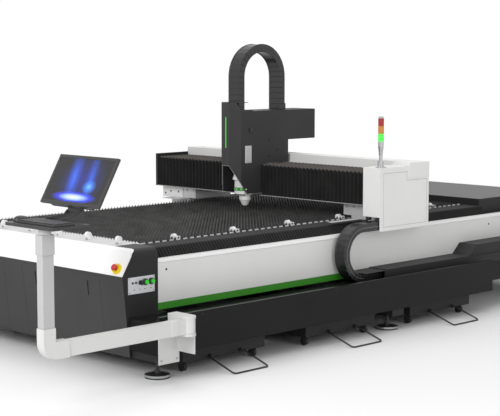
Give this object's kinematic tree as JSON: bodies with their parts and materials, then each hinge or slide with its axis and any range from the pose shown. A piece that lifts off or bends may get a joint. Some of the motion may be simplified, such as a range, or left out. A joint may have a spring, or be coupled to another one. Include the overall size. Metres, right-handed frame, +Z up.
{
  "type": "fiber laser cutting machine",
  "caption": "Open-bed fiber laser cutting machine with a toothed slat table, travelling gantry and cutting head, pleated way covers, drag chains, scrap carts and a swing-arm console.",
  "frame": {"origin": "centre of the whole machine's footprint box, on the floor", "axes": "+X from the operator end to the rear, +Y to the far side, +Z up"},
  "size_m": [5.191, 2.673, 1.85],
  "materials": {
    "dark_paint": "satin powder coat",
    "door_paint": "satin powder coat",
    "white_paint": "satin powder coat",
    "green_paint": "satin paint",
    "grey_paint": "satin powder coat",
    "light_steel": "brushed",
    "slat_steel": "cut mild steel",
    "rail_steel": "ground",
    "pleat_cloth": "coated cloth",
    "chain_plastic": "moulded",
    "black_plastic": "moulded",
    "foot_metal": "painted",
    "roller_plastic": "moulded",
    "yellow_plastic": "moulded",
    "red_plastic": "moulded",
    "green_plastic": "moulded",
    "strip_light": "diffuser",
    "lamp_plastic": "diffuser",
    "pole_metal": "satin",
    "plate_metal": "satin",
    "screen_glass": "glossy screen"
  },
  "bodies": {
    "base": {"base_frame": "dark_paint", "levelling_feet": "foot_metal", "side_panels": "white_paint", "side_stripes": "green_paint", "end_housing": "door_paint", "corner_covers": "dark_paint", "end_fascia": "white_paint", "service_panels": "door_paint", "panel_latches": "black_plastic", "control_plate": "plate_metal", "cable_trough": "dark_paint", "channel_cover": "dark_paint", "rear_cable_cover": "dark_paint", "comb_rails": "white_paint", "slats": "slat_steel", "bed_border": "light_steel", "way_rails": "rail_steel", "rear_platform": "grey_paint", "roller_brackets": "light_steel", "console_bracket": "white_paint", "estop_collar": "yellow_plastic", "way_pleats_front": "pleat_cloth", "way_pleats_rear": "pleat_cloth"},
    "gantry": {"gantry_beam": "white_paint", "end_box": "white_paint", "far_end_cover": "dark_paint", "saddles": "light_steel", "way_wipers": "light_steel", "beam_rails": "rail_steel", "signal_pole": "pole_metal", "signal_lamps": "lamp_plastic", "beam_pleats": "pleat_cloth", "x_drive": "dark_paint", "side_chain": "chain_plastic"},
    "head": {"carriage": "dark_paint", "head_cover": "dark_paint", "head_box": "dark_paint", "light_strip": "strip_light", "arch_chain": "chain_plastic"},
    "cutter": {"cutting_head": "white_paint", "nozzle": "pole_metal", "sensor_ring": "green_plastic"},
    "swing_arm": {"console_arm": "white_paint"},
    "console": {"keyboard_tray": "white_paint", "keyboard": "black_plastic", "mouse": "black_plastic"},
    "display": {"monitor": "black_plastic", "screen": "screen_glass"},
    "estop": {"estop_button": "red_plastic"},
    "start": {"start_button": "green_plastic"},
    "stop": {"stop_button": "green_plastic"},
    "selector": {"selector_knob": "black_plastic"},
    "end_row": {"end_rollers": "roller_plastic"},
    "near_row": {"near_rollers": "roller_plastic"},
    "scrap_cart_1": {"cart_1": "dark_paint"},
    "handle_1": {"bail_1": "rail_steel"},
    "scrap_cart_2": {"cart_2": "dark_paint"},
    "handle_2": {"bail_2": "rail_steel"},
    "scrap_cart_3": {"cart_3": "dark_paint"},
    "handle_3": {"bail_3": "rail_steel"}
  },
  "joints": [
    {"name": "gantry_x", "type": "slide", "parent": "base", "child": "gantry", "axis": [1, 0, 0], "range_m": [-1.65, 0.76], "deforming": ["way_pleats_front", "way_pleats_rear", "side_chain"]},
    {"name": "head_y", "type": "slide", "parent": "gantry", "child": "head", "axis": [0, 1, 0], "range_m": [-0.76, 0.7], "deforming": ["beam_pleats"]},
    {"name": "head_z", "type": "slide", "parent": "head", "child": "cutter", "axis": [0, 0, 1], "range_m": [-0.008, 0.1], "deforming": ["arch_chain"]},
    {"name": "arm_swing", "type": "hinge", "parent": "base", "child": "swing_arm", "pos_m": [-1.6045, -1.2035, 0.325], "axis": [0, 0, 1], "range_deg": [-35, 90]},
    {"name": "console_swivel", "type": "hinge", "parent": "swing_arm", "child": "console", "pos_m": [-2.5455, -1.2035, 0.915], "axis": [0, 0, 1], "range_deg": [-60, 60]},
    {"name": "monitor_tilt", "type": "hinge", "parent": "console", "child": "display", "pos_m": [-2.2715, -1.0995, 0.985], "axis": [0, 1, 0], "range_deg": [-15, 15]},
    {"name": "estop_press", "type": "slide", "parent": "base", "child": "estop", "axis": [0.8488, 0, -0.5287], "range_m": [0, 0.006]},
    {"name": "start_press", "type": "slide", "parent": "base", "child": "start", "axis": [0, 1, 0], "range_m": [0, 0.004], "stiffness_N_per_m": 400},
    {"name": "stop_press", "type": "slide", "parent": "base", "child": "stop", "axis": [0, 1, 0], "range_m": [0, 0.004], "stiffness_N_per_m": 400},
    {"name": "selector_turn", "type": "hinge", "parent": "base", "child": "selector", "pos_m": [-1.6035, -0.8195, 0.516], "axis": [0, 1, 0], "range_deg": [-45, 45]},
    {"name": "end_row_spin", "type": "hinge", "parent": "base", "child": "end_row", "pos_m": [-1.4805, 0.2255, 0.714], "axis": [0, 1, 0], "continuous": true},
    {"name": "near_row_spin", "type": "hinge", "parent": "base", "child": "near_row", "pos_m": [-0.0805, -0.4825, 0.69], "axis": [1, 0, 0], "continuous": true},
    {"name": "cart_1_slide", "type": "slide", "parent": "base", "child": "scrap_cart_1", "axis": [0, -1, 0], "range_m": [0, 1.2]},
    {"name": "bail_1_lift", "type": "hinge", "parent": "scrap_cart_1", "child": "handle_1", "pos_m": [-1.1205, -1.0015, 0.072], "axis": [-1, 0, 0], "range_deg": [0, 55]},
    {"name": "cart_2_slide", "type": "slide", "parent": "base", "child": "scrap_cart_2", "axis": [0, -1, 0], "range_m": [0, 1.2]},
    {"name": "bail_2_lift", "type": "hinge", "parent": "scrap_cart_2", "child": "handle_2", "pos_m": [-0.1105, -1.0015, 0.072], "axis": [-1, 0, 0], "range_deg": [0, 55]},
    {"name": "cart_3_slide", "type": "slide", "parent": "base", "child": "scrap_cart_3", "axis": [0, -1, 0], "range_m": [0, 1.2]},
    {"name": "bail_3_lift", "type": "hinge", "parent": "scrap_cart_3", "child": "handle_3", "pos_m": [0.8995, -1.0015, 0.072], "axis": [-1, 0, 0], "range_deg": [0, 55]}
  ]
}
